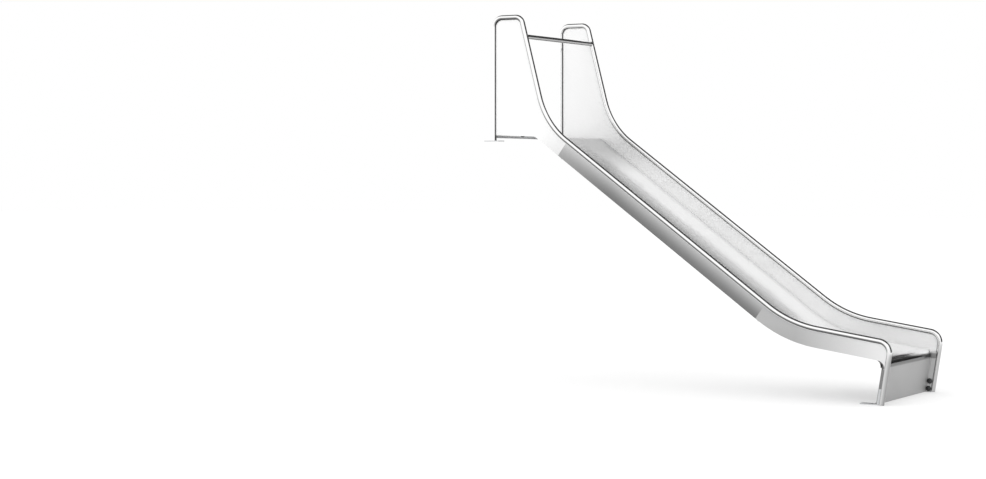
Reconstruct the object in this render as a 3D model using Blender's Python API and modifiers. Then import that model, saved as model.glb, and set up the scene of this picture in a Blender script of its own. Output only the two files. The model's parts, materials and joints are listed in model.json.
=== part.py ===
"""Embankment slide: a stainless steel bed between sheet sides, under two bent rail tubes, in three modules.

Metres. +X runs downhill, +Y to the left of someone who slides, +Z up. The origin is on the exit ground,
halfway across, in the middle of the lip under the end plate. A side profile is a list of (x, z) points,
walked from the start to the exit, so whatever hangs under the rail lies on the right of the walk.
"""
import math

import bmesh
import bpy
from mathutils import Matrix, Vector

# Rail tubes
RAIL_SPACING = 1.080  # between the centre lines of the two rails
RAIL_DIAMETER = 0.038
RAIL_WALL = 0.002
POST_LEAN = 9.2  # degrees, the exit posts' tops lean downhill
POST_HEIGHT = 0.439  # up to the corner of the centre line
RUNOUT_FALL = 8.4
RUNOUT_LENGTH = 0.770  # corner to corner
SLOPE_FALL = 36.0
SLOPE_LENGTH = 2.492
GUARD_RAKE = 14.8  # degrees from upright
GUARD_LENGTH = 0.857
GUARD_TOP = 0.244
ENTRY_BEND = 0.103
GUARD_BEND = 0.069
UPPER_BEND = 0.600
LOWER_BEND = 0.866
EXIT_BEND = 0.116
LEG_DROP = 0.045  # start legs below the bed

# Bed and sides
SHEET = 0.0025
BED_DEPTH = 0.135  # rail centre line to bed surface, square to the slope
START_LENGTH = 0.368  # start leg to the brow of the slope
START_FALL = 2.4
START_BEND = 0.060
START_LIP = 0.025
LIP_BEND = 0.008
ROLL_RADIUS = 0.050  # rolled end of the bed
SIDE_FILLET = 0.057  # where a side runs down into its exit post

# End plate, with its folded flanges beside the posts and its lip on the ground
PLATE_SETBACK = 0.047  # post centre line to the plate's face
FLANGE_DEPTH = 0.040
FLANGE_REVEAL = 0.002  # where the flanges fold out to the sides, below the bed's surface
FLANGE_STEPS = 4
PLATE_BEND = 0.006
SILL_DEPTH = 0.040

# Cross bar
BAR_DIAMETER = 0.034
BAR_WALL = 0.002
BAR_DROP = 0.159  # below the guard's upper corner, along the raked tube

# Joints between the modules
SEAM_STRAIGHT = 0.020  # from the end of a bend to the seam
SPIGOT_REACH = 0.060  # into the middle rail
SPIGOT_WALL = 0.003
JOINT_BAR_THICKNESS = 0.004
JOINT_BAR_DEPTH = 0.030
JOINT_BAR_LENGTH = 0.920
JOINT_BOLT = 0.010
JOINT_BOLT_SPACING = 0.360
JOINT_BOLTS = 3

# Cross channels under the bed
CHANNEL_WIDTH = 0.040
CHANNEL_DEPTH = 0.012
CHANNEL_WALL = 0.003
CHANNEL_LENGTH = 0.860
SLOPE_CHANNELS = 2

# Feet
FOOT_THICKNESS = 0.006
START_FOOT_LENGTH = 0.130
START_FOOT_WIDTH = 0.090
START_FOOT_SPACING = 0.096  # between its two holes
FOOT_HOLE = 0.012
STRAP_THICKNESS = 0.005
STRAP_HEIGHT = 0.112
STRAP_CLEARANCE = 0.0135  # post centre line to the strap's edge
STRAP_INSET = 0.006  # strap's other edge in front of the plate's face
EXIT_FOOT_LENGTH = 0.080  # uphill of the lip
EXIT_FOOT_WIDTH = 0.060

# Plate bolts and their domed caps
PLATE_BOLT = 0.008
PLATE_BOLT_OFFSET = 0.021  # in front of the plate's face
PLATE_BOLT_HEIGHTS = (0.025, 0.082)
CAP_DIAMETER = 0.038
CAP_HEIGHT = 0.016
CAP_WALL = 0.0025
CAP_FOOT = 0.0155  # radius of the cap where it sits on the flange
CAP_SHOULDER = 0.004  # height of its widest ring
CAP_STEPS = 6

# Hexagon bolts and nuts, as shares of the thread's diameter
HEAD_HEIGHT = 0.64
NUT_HEIGHT = 0.8
ACROSS_FLATS = 1.6

# Fits and mesh steps
GAP = 0.0003
HOLE_PLAY = 0.0005
ARC_STEP = math.radians(10)
ARC_CHORD = 0.080
TUBE_RESOLUTION = 6
ROUND_SIDES = 16
SMALL_SIDES = 12  # shanks and holes
COPE_SIDES = 32
CUTTER_REACH = 4  # a cutter's length, in thicknesses of what it cuts
WELD = 1e-5
SIDES = {"left": 1, "right": -1}

STEEL = ((0.74, 0.75, 0.76, 1), 0.28, 1.0)
BRIGHT_TUBE = ((0.82, 0.83, 0.84, 1), 0.16, 1.0)
FASTENER_STEEL = ((0.62, 0.63, 0.64, 1), 0.35, 1.0)
BLACK_PLASTIC = ((0.018, 0.019, 0.020, 1), 0.22, 0.0)


def heading(degrees):
    return Vector((math.cos(math.radians(degrees)), math.sin(math.radians(degrees))))


def right_of(direction):
    return Vector((direction.y, -direction.x))


def crossing(point, direction, other, other_direction):
    """Where two lines of the side plane meet."""
    span = direction.cross(other_direction)
    return point + direction * ((other - point).cross(other_direction) / span)


def turn_at(before, corner, after):
    """Signed angle of a corner, positive to the left."""
    into, out = corner - before, after - corner
    return math.atan2(into.cross(out), into.dot(out))


def tangent_length(before, corner, after, radius):
    return radius * math.tan(abs(turn_at(before, corner, after)) / 2)


def rounded(corners, radii):
    """The corners joined by straight lines, with an arc of each radius at the inner corners."""
    points = [corners[0]]
    for before, corner, after, radius in zip(corners, corners[1:], corners[2:], radii):
        turn = turn_at(before, corner, after)
        reach = tangent_length(before, corner, after, radius)
        into, out = (corner - before).normalized(), (after - corner).normalized()
        start = corner - into * reach
        centre = start - right_of(into) * math.copysign(radius, turn)
        steps = math.ceil(max(abs(turn) / ARC_STEP, abs(turn) * radius / ARC_CHORD))
        for step in range(steps + 1):
            points.append(centre + Matrix.Rotation(turn * step / steps, 2) @ (start - centre))
    if (points[-1] - corners[-1]).length > GAP:
        points.append(corners[-1])
    return points


def parallel(corners, radii, distance):
    """The same walk at a distance to its right, with radii that keep the bends concentric."""
    directions = [(after - before).normalized() for before, after in zip(corners, corners[1:])]
    shifted = [corners[0] + right_of(directions[0]) * distance]
    for corner, into, out in zip(corners[1:], directions, directions[1:]):
        shifted.append(crossing(corner + right_of(into) * distance, into, corner + right_of(out) * distance, out))
    shifted.append(corners[-1] + right_of(directions[-1]) * distance)
    new_radii = [
        radius + distance * math.copysign(1, turn_at(*corners[index:index + 3])) for index, radius in enumerate(radii)
    ]
    return shifted, new_radii


# Directions of the straight stretches, all walked downhill
POST = heading(-90 - POST_LEAN)
RUNOUT = heading(-RUNOUT_FALL)
SLOPE = heading(-SLOPE_FALL)
GUARD = heading(GUARD_RAKE - 90)
START = heading(-START_FALL)
RAIL_RADIUS = RAIL_DIAMETER / 2
HALF_SPACING = RAIL_SPACING / 2
BED_HALF_WIDTH = HALF_SPACING - SHEET / 2 - GAP

# Corners of the rail's centre line, worked uphill from the exit
PLATE_FOOT = Vector((SILL_DEPTH / 2, 0))
POST_FOOT = PLATE_FOOT + Vector((PLATE_SETBACK / math.cos(math.radians(POST_LEAN)), 0))
EXIT_CORNER = POST_FOOT - POST * (POST_HEIGHT / -POST.y)
LOWER_CORNER = EXIT_CORNER - RUNOUT * RUNOUT_LENGTH
UPPER_CORNER = LOWER_CORNER - SLOPE * SLOPE_LENGTH
GUARD_CORNER = UPPER_CORNER - GUARD * GUARD_LENGTH
ENTRY_CORNER = GUARD_CORNER - Vector((GUARD_TOP, 0))

# Corners of the bed's surface
SLOPE_POINT = UPPER_CORNER + right_of(SLOPE) * BED_DEPTH
RUNOUT_POINT = LOWER_CORNER + right_of(RUNOUT) * BED_DEPTH
BROW = crossing(SLOPE_POINT, SLOPE, ENTRY_CORNER + Vector((START_LENGTH, 0)), Vector((0, 1)))
BED_START = crossing(BROW, START, ENTRY_CORNER + Vector((RAIL_RADIUS + GAP, 0)), Vector((0, 1)))
BED_DIP = crossing(SLOPE_POINT, SLOPE, RUNOUT_POINT, RUNOUT)
BED_END = crossing(BED_DIP, RUNOUT, PLATE_FOOT, POST)
ROLL_END = BED_END + POST * tangent_length(BED_DIP, BED_END, PLATE_FOOT, ROLL_RADIUS)

START_LEG_END = Vector((ENTRY_CORNER.x, BED_START.y - LEG_DROP))
POST_END = POST_FOOT - POST * (RAIL_RADIUS * math.tan(math.radians(POST_LEAN)))
RAIL = [START_LEG_END, ENTRY_CORNER, GUARD_CORNER, UPPER_CORNER, LOWER_CORNER, EXIT_CORNER, POST_END]
RAIL_BENDS = [ENTRY_BEND, GUARD_BEND, UPPER_BEND, LOWER_BEND, EXIT_BEND]
BED = [BED_START - Vector((0, START_LIP)), BED_START, BROW, BED_DIP, BED_END, ROLL_END]
BED_BENDS = [LIP_BEND, START_BEND, LOWER_BEND + BED_DEPTH, ROLL_RADIUS]
UPPER_SEAM = UPPER_CORNER + SLOPE * (tangent_length(*RAIL[2:5], UPPER_BEND) + SEAM_STRAIGHT)
LOWER_SEAM = LOWER_CORNER - SLOPE * (tangent_length(*RAIL[3:6], LOWER_BEND) + SEAM_STRAIGHT)


def at_seam(seam, depth, along):
    """A point at a seam, so deep under the rail's centre line and so far downhill of the joint."""
    return seam + right_of(SLOPE) * depth + SLOPE * along


def start_rail_line(depth):
    corners, radii = parallel(RAIL, RAIL_BENDS, depth)
    return rounded(corners[:4] + [at_seam(UPPER_SEAM, depth, -GAP / 2)], radii[:3])


def middle_line(depth):
    return [at_seam(UPPER_SEAM, depth, GAP / 2), at_seam(LOWER_SEAM, depth, -GAP / 2)]


def exit_rail_line(depth):
    corners, radii = parallel(RAIL, RAIL_BENDS, depth)
    return rounded([at_seam(LOWER_SEAM, depth, GAP / 2)] + corners[4:], radii[3:])


def start_bed_line(depth):
    corners, radii = parallel(BED, BED_BENDS, depth)
    return rounded(corners[:3] + [at_seam(UPPER_SEAM, BED_DEPTH + depth, -GAP / 2)], radii[:2])


def exit_bed_line(depth):
    corners, radii = parallel(BED, BED_BENDS, depth)
    return rounded([at_seam(LOWER_SEAM, BED_DEPTH + depth, GAP / 2)] + corners[3:], radii[2:])


def clear_scene():
    for thing in list(bpy.data.objects):
        bpy.data.objects.remove(thing, do_unlink=True)


def new_collection(name):
    collection = bpy.data.collections.new(name)
    bpy.context.scene.collection.children.link(collection)
    return collection


def finish(thing, look):
    """Gives a piece its own material and puts it in the slide's collection."""
    colour, roughness, metallic = look
    material = bpy.data.materials.new(thing.name)
    material.use_nodes = True
    shader = material.node_tree.nodes["Principled BSDF"]
    shader.inputs["Base Color"].default_value = colour
    shader.inputs["Roughness"].default_value = roughness
    shader.inputs["Metallic"].default_value = metallic
    if not thing.data.materials:
        thing.data.materials.append(None)
    thing.material_slots[0].link = "OBJECT"
    thing.material_slots[0].material = material
    SLIDE.objects.link(thing)
    return thing


def curve_object(name, dimensions, points, closed):
    curve = bpy.data.curves.new(name, "CURVE")
    curve.dimensions = dimensions
    spline = curve.splines.new("POLY")
    spline.points.add(len(points) - 1)
    for place, point in zip(spline.points, points):
        place.co = (*point, 1) if len(point) == 3 else (*point, 0, 1)
    spline.use_cyclic_u = closed
    return bpy.data.objects.new(name, curve)


def tube(name, line, across, diameter, wall, look):
    """A hollow tube along a side line, so far across the slide."""
    piece = curve_object(name, "3D", [(point.x, across, point.y) for point in line], False)
    piece.data.bevel_depth = diameter / 2
    piece.data.bevel_resolution = TUBE_RESOLUTION
    piece.data.use_fill_caps = False
    bore = piece.modifiers.new("bore", "SOLIDIFY")
    bore.thickness = wall
    bore.offset = -1
    return finish(piece, look)


def profile(name, outline, across, thickness):
    """A side outline extruded across the slide, half its thickness to each side."""
    piece = curve_object(name, "2D", outline, True)
    piece.data.fill_mode = "BOTH"
    piece.data.extrude = thickness / 2
    piece.location.y = across
    piece.rotation_euler.x = math.pi / 2
    return piece


def as_mesh(piece):
    """The same piece as a welded mesh in world space, ready for a Boolean."""
    SLIDE.objects.link(piece)
    bpy.context.view_layer.update()
    mesh = bpy.data.meshes.new_from_object(piece.evaluated_get(bpy.context.evaluated_depsgraph_get()))
    mesh.transform(piece.matrix_world)
    name = piece.name
    bpy.data.objects.remove(piece)
    shape = bmesh.new()
    shape.from_mesh(mesh)
    bmesh.ops.remove_doubles(shape, verts=shape.verts, dist=WELD)
    shape.to_mesh(mesh)
    shape.free()
    return bpy.data.objects.new(name, mesh)


def primitive(name, build, matrix):
    """An object from one bmesh primitive, with its place in its matrix."""
    shape = bmesh.new()
    build(shape)
    mesh = bpy.data.meshes.new(name)
    shape.to_mesh(mesh)
    shape.free()
    piece = bpy.data.objects.new(name, mesh)
    piece.matrix_world = matrix
    return piece


def box(name, size, centre, turn=0.0):
    """A box, turned about the Y axis."""
    def build(shape):
        bmesh.ops.create_cube(shape, size=1, matrix=Matrix.Diagonal((*size, 1)))

    return primitive(name, build, Matrix.Translation(centre) @ Matrix.Rotation(turn, 4, "Y"))


def rod(name, diameter, length, matrix, sides=ROUND_SIDES, capped=True):
    """A cylinder along its own Z axis, centred on its origin."""
    def build(shape):
        bmesh.ops.create_cone(
            shape, cap_ends=capped, segments=sides, radius1=diameter / 2, radius2=diameter / 2, depth=length
        )

    return primitive(name, build, matrix)


def combine(piece, operation, tool):
    """Cuts a piece with a tool, or joins the tool to it. The tool stays behind as a hidden helper."""
    if tool.name not in HELPERS.objects:
        HELPERS.objects.link(tool)
        tool.hide_render = True
        tool.display_type = "WIRE"
    step = piece.modifiers.new(tool.name, "BOOLEAN")
    step.operation = operation
    step.object = tool
    step.solver = "EXACT"


def applied(piece):
    """A mesh of the piece with its Booleans done, for sharing. The piece itself is removed."""
    HELPERS.objects.link(piece)
    bpy.context.view_layer.update()
    mesh = bpy.data.meshes.new_from_object(piece.evaluated_get(bpy.context.evaluated_depsgraph_get()))
    mesh.transform(piece.matrix_world)
    bpy.data.objects.remove(piece)
    return mesh


def across_slide(x, y, z):
    """A frame at a point whose Z axis lies across the slide."""
    return Matrix.Translation((x, y, z)) @ Matrix.Rotation(math.pi / 2, 4, "X")


def across_corners(thread):
    return ACROSS_FLATS * thread / math.cos(math.pi / 6)


def bolt_mesh(thread, grip):
    """A hex bolt. Its shank points along +Z, and its head sits under the origin."""
    height = HEAD_HEIGHT * thread
    length = grip + thread
    middle = Matrix.Translation((0, 0, (length - height / 2) / 2))
    head = rod("bolt_head", across_corners(thread), height, Matrix.Translation((0, 0, -height / 2)), 6)
    shank = rod("bolt_shank", thread, length + height / 2, middle, SMALL_SIDES)
    combine(head, "UNION", shank)
    return applied(head)


def nut_mesh(thread):
    """A hex nut that stands on the origin."""
    height = NUT_HEIGHT * thread
    middle = Matrix.Translation((0, 0, height / 2))
    nut = rod("nut_body", across_corners(thread), height, middle, 6)
    bore = rod("nut_bore", thread + 2 * GAP, CUTTER_REACH * height, middle, SMALL_SIDES)
    combine(nut, "DIFFERENCE", bore)
    return applied(nut)


def place(name, mesh, matrix, look):
    piece = bpy.data.objects.new(name, mesh)
    piece.matrix_world = matrix
    return finish(piece, look)


def make_rails():
    for side, sign in SIDES.items():
        across = sign * HALF_SPACING
        tube(f"start_rail_{side}", start_rail_line(0), across, RAIL_DIAMETER, RAIL_WALL, BRIGHT_TUBE)
        tube(f"middle_rail_{side}", middle_line(0), across, RAIL_DIAMETER, RAIL_WALL, BRIGHT_TUBE)
        tube(f"exit_rail_{side}", exit_rail_line(0), across, RAIL_DIAMETER, RAIL_WALL, BRIGHT_TUBE)


def make_spigots():
    """Sleeves inside the rails at the seams, long in the middle rail and short beside the bends."""
    diameter = RAIL_DIAMETER - 2 * (RAIL_WALL + GAP)
    short = SEAM_STRAIGHT - GAP
    for side, sign in SIDES.items():
        for name, seam, uphill, downhill in (
            ("upper", UPPER_SEAM, short, SPIGOT_REACH), ("lower", LOWER_SEAM, SPIGOT_REACH, short)
        ):
            line = [seam - SLOPE * uphill, seam + SLOPE * downhill]
            tube(f"{name}_spigot_{side}", line, sign * HALF_SPACING, diameter, SPIGOT_WALL, FASTENER_STEEL)


def make_bed():
    """The three bed sheets: the start bed with its folded lip, the straight one, and the rolled one."""
    width = 2 * BED_HALF_WIDTH
    start = start_bed_line(0) + start_bed_line(SHEET)[::-1]
    middle = middle_line(BED_DEPTH) + middle_line(BED_DEPTH + SHEET)[::-1]
    end = exit_bed_line(0) + exit_bed_line(SHEET)[::-1]
    for name, outline in (("start_bed", start), ("middle_bed", middle), ("exit_bed", end)):
        finish(profile(name, outline, 0, width), STEEL)


def start_panel_outline():
    """Fills the whole start loop, from the leg to the upper seam and down to the bed's underside."""
    top = start_rail_line(RAIL_RADIUS + GAP)[1:]
    bottom = start_bed_line(SHEET)
    under = crossing(BED_START + right_of(START) * SHEET, START, BED_START, Vector((0, 1)))
    brow_on = [point for point in bottom if point.x > BED_START.x + LIP_BEND]
    return [under] + top + brow_on[::-1]


def exit_side_outline():
    """Runs under the rail to the exit post, where its lower edge turns down into the post."""
    low_corners, low_radii = parallel(BED, BED_BENDS, SHEET)
    post_edge = POST_FOOT + right_of(POST) * (RAIL_RADIUS + GAP)
    corner = crossing(low_corners[3], RUNOUT, post_edge, POST)
    reach = tangent_length(low_corners[3], corner, corner + POST, SIDE_FILLET)
    seam = at_seam(LOWER_SEAM, BED_DEPTH + SHEET, GAP / 2)
    low = rounded([seam, low_corners[3], corner, corner + POST * reach], [low_radii[2], SIDE_FILLET])
    return exit_rail_line(RAIL_RADIUS + GAP)[:-1] + low[::-1][1:]


def make_sides():
    middle = middle_line(RAIL_RADIUS + GAP) + middle_line(BED_DEPTH + SHEET)[::-1]
    outlines = {"start_panel": start_panel_outline(), "middle_side": middle, "exit_side": exit_side_outline()}
    for side, sign in SIDES.items():
        for name, outline in outlines.items():
            finish(profile(f"{name}_{side}", outline, sign * HALF_SPACING, SHEET), STEEL)


def make_cross_bar():
    """The bar over the entrance, its ends coped round the raked tubes."""
    centre = GUARD_CORNER + GUARD * BAR_DROP
    bar = rod("cross_bar", BAR_DIAMETER, RAIL_SPACING, across_slide(centre.x, 0, centre.y), capped=False)
    bore = bar.modifiers.new("bore", "SOLIDIFY")
    bore.thickness = BAR_WALL
    bore.offset = -1
    for side, sign in SIDES.items():
        rake = Matrix.Rotation(math.radians(-GUARD_RAKE), 4, "Y")
        where = Matrix.Translation((centre.x, sign * HALF_SPACING, centre.y)) @ rake
        cope = rod(f"cope_{side}", RAIL_DIAMETER + 2 * GAP, CUTTER_REACH * BAR_DIAMETER, where, COPE_SIDES)
        combine(bar, "DIFFERENCE", cope)
    finish(bar, BRIGHT_TUBE)


def plate_bolt_places():
    """Side-plane places of the bolts through the plate's flanges."""
    for height in PLATE_BOLT_HEIGHTS:
        face = PLATE_FOOT - POST * (height / -POST.y)
        yield face + Vector((PLATE_BOLT_OFFSET / math.cos(math.radians(POST_LEAN)), 0))


def plate_bolt_cutters():
    hole = PLATE_BOLT + 2 * HOLE_PLAY
    return [
        rod(f"plate_bolt_hole_{level}", hole, RAIL_SPACING, across_slide(spot.x, 0, spot.y), SMALL_SIDES)
        for level, spot in enumerate(plate_bolt_places(), 1)
    ]


def flange_rows(flange):
    """Back and front points of a flange above the plate: up beside the roll, then out over to the side sheet."""
    down = right_of(RUNOUT)
    centre = ROLL_END + right_of(POST) * ROLL_RADIUS
    clear = ROLL_RADIUS + GAP
    fold = BED_HALF_WIDTH - flange
    rows = []

    def add_row(depth, across, turn):
        # the sheet's underside comes nearest to the roll and to the post
        under, outer = depth + SHEET * math.sin(turn), across + SHEET * math.cos(turn)
        along = math.sqrt(clear ** 2 - (ROLL_RADIUS - under) ** 2)
        back = centre + down * (depth - ROLL_RADIUS) + RUNOUT * along
        post = math.sqrt(max(0, (RAIL_RADIUS + GAP) ** 2 - (HALF_SPACING - outer) ** 2))
        reach = min(FLANGE_DEPTH, (PLATE_SETBACK - post) / math.cos(math.radians(POST_LEAN)))
        front = crossing(PLATE_FOOT + Vector((reach, 0)), POST, BED_END + down * depth, RUNOUT)
        rows.append([Vector((point.x, across, point.y)) for point in (back, front)])

    fold_starts = math.acos((ROLL_RADIUS - FLANGE_REVEAL - fold) / clear)
    for step in range(1, FLANGE_STEPS + 1):
        angle = math.pi / 2 + (fold_starts - math.pi / 2) * step / FLANGE_STEPS
        add_row(ROLL_RADIUS - clear * math.cos(angle), flange, 0)
    turns = math.ceil(math.pi / 2 / ARC_STEP)
    for step in range(1, turns + 1):
        angle = math.pi / 2 * step / turns
        add_row(FLANGE_REVEAL + fold * (1 - math.sin(angle)), flange + fold * (1 - math.cos(angle)), angle)
    return rows


def raise_strip(shape, rows):
    """A strip of sheet through rows of two points each."""
    edge = shape.edges.new([shape.verts.new(point) for point in rows[0]])
    for row in rows[1:]:
        made = bmesh.ops.extrude_edge_only(shape, edges=[edge])["geom"]
        fresh = {part for part in made if isinstance(part, bmesh.types.BMVert)}
        edge = next(part for part in made if isinstance(part, bmesh.types.BMEdge) and fresh.issuperset(part.verts))
        for vert, point in zip(sorted(fresh, key=lambda vert: vert.co.x), row):
            vert.co = point


def make_end_plate(cutters):
    """A leaning sheet. Its edges fold forward into flanges beside the posts, which close the corners between roll,
    post and side, and its foot folds back along the ground.
    """
    flange = HALF_SPACING - RAIL_RADIUS - GAP - SHEET
    plan = rounded(
        [
            Vector((FLANGE_DEPTH, flange)), Vector((0, flange)), Vector((0, -flange)), Vector((FLANGE_DEPTH, -flange))
        ],
        [PLATE_BEND, PLATE_BEND],
    )
    top = ROLL_END - Vector((0, GAP))
    shape = bmesh.new()
    foot = [shape.verts.new((PLATE_FOOT.x + point.x, point.y, 0)) for point in plan]
    edges = [shape.edges.new(pair) for pair in zip(foot, foot[1:])]
    raised = bmesh.ops.extrude_edge_only(shape, edges=edges)["geom"]
    rise = Vector((top.x - PLATE_FOOT.x, 0, top.y))
    bmesh.ops.translate(shape, vec=rise, verts=[part for part in raised if isinstance(part, bmesh.types.BMVert)])
    front_edge = max(edges, key=lambda edge: edge.calc_length())
    lip = bmesh.ops.extrude_edge_only(shape, edges=[front_edge])["geom"]
    back = Vector((-SILL_DEPTH, 0, 0))
    bmesh.ops.translate(shape, vec=back, verts=[part for part in lip if isinstance(part, bmesh.types.BMVert)])
    plate_top = [Vector((top.x + depth, flange, top.y)) for depth in (PLATE_BEND, FLANGE_DEPTH)]
    rows = [plate_top] + flange_rows(flange)
    for sign in SIDES.values():
        raise_strip(shape, [[point * Vector((1, sign, 1)) for point in row] for row in rows])
    bmesh.ops.remove_doubles(shape, verts=shape.verts, dist=WELD)
    bmesh.ops.recalc_face_normals(shape, faces=shape.faces)
    shape.normal_update()
    front = max(shape.faces, key=lambda face: face.calc_area())
    if front.normal.x < 0:
        bmesh.ops.reverse_faces(shape, faces=shape.faces)
    mesh = bpy.data.meshes.new("end_plate")
    shape.to_mesh(mesh)
    shape.free()
    plate = bpy.data.objects.new("end_plate", mesh)
    fold = plate.modifiers.new("sheet", "SOLIDIFY")
    fold.thickness = SHEET
    fold.offset = -1
    fold.use_even_offset = True
    for cutter in cutters:
        combine(plate, "DIFFERENCE", cutter)
    finish(plate, STEEL)


def make_exit_feet(cutters):
    """An anchor on each side: a strap bolted to the plate's flange, on a foot that lies behind the plate."""
    post_edge = POST_FOOT + right_of(POST) * STRAP_CLEARANCE
    front_low = crossing(post_edge, POST, Vector((0, 0)), Vector((1, 0)))
    front_high = crossing(post_edge, POST, Vector((0, STRAP_HEIGHT)), Vector((1, 0)))
    strap_width = Vector(((PLATE_SETBACK - STRAP_CLEARANCE - STRAP_INSET) / math.cos(math.radians(POST_LEAN)), 0))
    strap_back = crossing(front_low - strap_width, POST, Vector((0, FOOT_THICKNESS)), Vector((1, 0)))
    foot_edge = -SILL_DEPTH / 2 - GAP
    heel = foot_edge - EXIT_FOOT_LENGTH
    outline = [
        Vector((heel, 0)), front_low, front_high, front_high - strap_width, strap_back, Vector((heel, FOOT_THICKNESS)),
    ]
    inner = HALF_SPACING - RAIL_RADIUS
    for side, sign in SIDES.items():
        foot = as_mesh(profile(f"exit_foot_{side}", outline, sign * (inner + STRAP_THICKNESS / 2), STRAP_THICKNESS))
        ledge_width = EXIT_FOOT_WIDTH + STRAP_THICKNESS / 2
        ledge_y = inner + STRAP_THICKNESS / 2 - ledge_width / 2
        size = (EXIT_FOOT_LENGTH, ledge_width, FOOT_THICKNESS)
        middle = foot_edge - EXIT_FOOT_LENGTH / 2
        ledge = box(f"exit_ledge_{side}", size, (middle, sign * ledge_y, FOOT_THICKNESS / 2))
        combine(foot, "UNION", ledge)
        hole_at = Matrix.Translation((middle, sign * (inner - EXIT_FOOT_WIDTH / 2), 0))
        hole = rod(f"exit_foot_hole_{side}", FOOT_HOLE, CUTTER_REACH * FOOT_THICKNESS, hole_at, SMALL_SIDES)
        combine(foot, "DIFFERENCE", hole)
        for cutter in cutters:
            combine(foot, "DIFFERENCE", cutter)
        finish(foot, FASTENER_STEEL)


def cap_mesh():
    """A domed shell, turned about Z. Its foot stands on the origin, and it is widest a little above."""
    rise = CAP_HEIGHT - CAP_SHOULDER
    outer = [
        Vector((CAP_DIAMETER / 2 * math.sin(angle), CAP_SHOULDER + rise * math.cos(angle)))
        for angle in (math.pi / 2 * step / CAP_STEPS for step in range(CAP_STEPS + 1))
    ]
    inner = [
        Vector((max(0.0, point.x - CAP_WALL), point.y - CAP_WALL)) for point in outer[::-1] if point.x > CAP_WALL
    ]
    section = outer + [Vector((CAP_FOOT, 0)), Vector((CAP_FOOT - CAP_WALL, 0))] + inner
    section.append(Vector((0, CAP_HEIGHT - CAP_WALL)))
    shape = bmesh.new()
    verts = [shape.verts.new((point.x, 0, point.y)) for point in section]
    for pair in zip(verts, verts[1:]):
        shape.edges.new(pair)
    mesh = bpy.data.meshes.new("cap")
    shape.to_mesh(mesh)
    shape.free()
    cap = bpy.data.objects.new("cap_section", mesh)
    turning = cap.modifiers.new("turn", "SCREW")
    turning.steps = ROUND_SIDES
    turning.render_steps = ROUND_SIDES
    turning.use_merge_vertices = True
    turning.merge_threshold = WELD
    turned = applied(cap)
    turned.shade_smooth()
    return turned


def make_plate_fasteners():
    """Bolts through strap and flange, with their nuts under the domed caps that face the middle."""
    flange_inner = HALF_SPACING - RAIL_RADIUS - GAP - SHEET
    strap_outer = HALF_SPACING - RAIL_RADIUS + STRAP_THICKNESS
    bolt = bolt_mesh(PLATE_BOLT, strap_outer - flange_inner + 2 * GAP)
    nut = nut_mesh(PLATE_BOLT)
    cap = cap_mesh()
    for side, sign in SIDES.items():
        inward = Matrix.Rotation(math.radians(90 * sign), 4, "X")
        for level, spot in zip(("lower", "upper"), plate_bolt_places()):
            name = f"{level}_{side}"
            outside = Matrix.Translation((spot.x, sign * (strap_outer + GAP), spot.y)) @ inward
            inside = Matrix.Translation((spot.x, sign * (flange_inner - GAP), spot.y)) @ inward
            place(f"plate_bolt_{name}", bolt, outside, FASTENER_STEEL)
            place(f"plate_nut_{name}", nut, inside, FASTENER_STEEL)
            place(f"bolt_cap_{name}", cap, inside, BLACK_PLASTIC)


def make_start_feet():
    """A plate under each start leg, with two holes for its ground bolts."""
    height = START_LEG_END.y - GAP - FOOT_THICKNESS / 2
    for side, sign in SIDES.items():
        centre = (START_LEG_END.x, sign * HALF_SPACING, height)
        foot = box(f"start_foot_{side}", (START_FOOT_LENGTH, START_FOOT_WIDTH, FOOT_THICKNESS), centre)
        for end in (-1, 1):
            spot = Matrix.Translation((centre[0] + end * START_FOOT_SPACING / 2, centre[1], height))
            reach = CUTTER_REACH * FOOT_THICKNESS
            combine(foot, "DIFFERENCE", rod(f"start_foot_hole_{side}_{end}", FOOT_HOLE, reach, spot, SMALL_SIDES))
        finish(foot, FASTENER_STEEL)


def joint_bolt_offsets():
    return [(index - (JOINT_BOLTS - 1) / 2) * JOINT_BOLT_SPACING for index in range(JOINT_BOLTS)]


def along_slope(point, across):
    """A frame at a side-plane point whose Z axis runs down the slope."""
    turn = Matrix.Rotation(math.radians(90 + SLOPE_FALL), 4, "Y")
    return Matrix.Translation((point.x, across, point.y)) @ turn


def make_joints():
    """Bars welded under the ends of the beds, bolted together at each seam."""
    depth = BED_DEPTH + SHEET + GAP + JOINT_BAR_DEPTH / 2
    step = JOINT_BAR_THICKNESS / 2 + GAP / 2
    face = step + JOINT_BAR_THICKNESS / 2 + GAP
    bolt = bolt_mesh(JOINT_BOLT, 2 * face)
    nut = nut_mesh(JOINT_BOLT)
    for level, seam in (("upper", UPPER_SEAM), ("lower", LOWER_SEAM)):
        holes = [
            rod(
                f"{level}_joint_hole_{index}", JOINT_BOLT + 2 * HOLE_PLAY, 2 * CUTTER_REACH * JOINT_BAR_THICKNESS,
                along_slope(at_seam(seam, depth, 0), offset), SMALL_SIDES,
            )
            for index, offset in enumerate(joint_bolt_offsets(), 1)
        ]
        for end, way in (("a", -1), ("b", 1)):
            middle = at_seam(seam, depth, way * step)
            size = (JOINT_BAR_THICKNESS, JOINT_BAR_LENGTH, JOINT_BAR_DEPTH)
            bar = box(
                f"{level}_joint_bar_{end}", size, (middle.x, 0, middle.y), math.radians(SLOPE_FALL)
            )
            for hole in holes:
                combine(bar, "DIFFERENCE", hole)
            finish(bar, FASTENER_STEEL)
        for index, offset in enumerate(joint_bolt_offsets(), 1):
            head_at = along_slope(at_seam(seam, depth, -face), offset)
            nut_at = along_slope(at_seam(seam, depth, face), offset)
            place(f"{level}_joint_bolt_{index}", bolt, head_at, FASTENER_STEEL)
            place(f"{level}_joint_nut_{index}", nut, nut_at, FASTENER_STEEL)


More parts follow.
